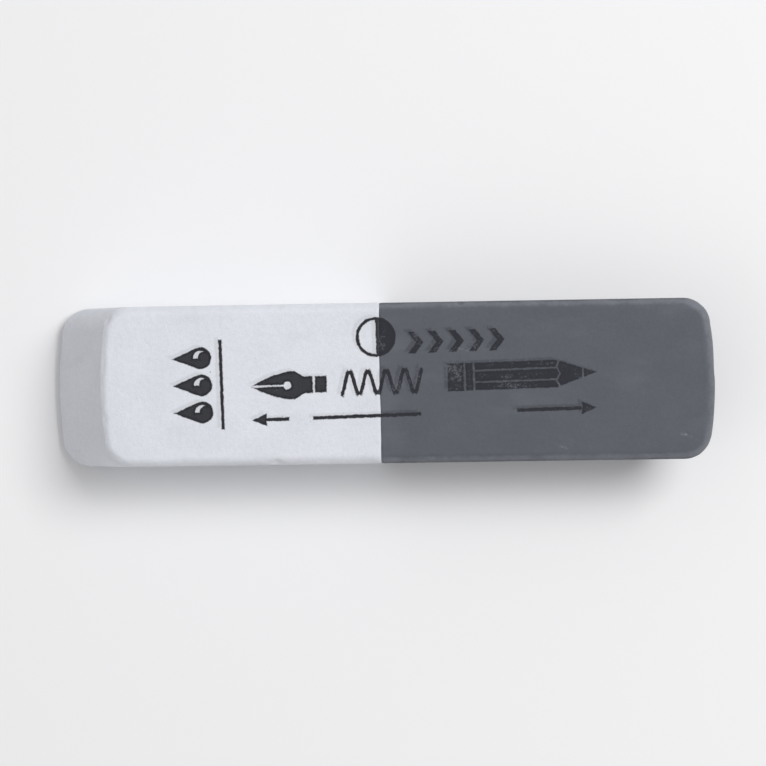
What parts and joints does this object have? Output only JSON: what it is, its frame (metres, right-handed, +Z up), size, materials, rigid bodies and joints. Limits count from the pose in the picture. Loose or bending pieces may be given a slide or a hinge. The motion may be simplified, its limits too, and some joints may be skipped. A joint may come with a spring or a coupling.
{
  "type": "rubber eraser",
  "caption": "Block eraser with slanted ends: abrasive white ink rubber bonded end to end with soft grey pencil rubber.",
  "frame": {"origin": "middle of the block's outer box, on the face that it rests on", "axes": "+X along the block from the white ink end to the grey pencil end, +Z up out of the printed face"},
  "size_m": [0.058, 0.014, 0.0085],
  "materials": {
    "white_rubber": "matte",
    "grey_rubber": "matte"
  },
  "bodies": {
    "root": {"ink_end": "white_rubber", "pencil_end": "grey_rubber"}
  },
  "joints": []
}
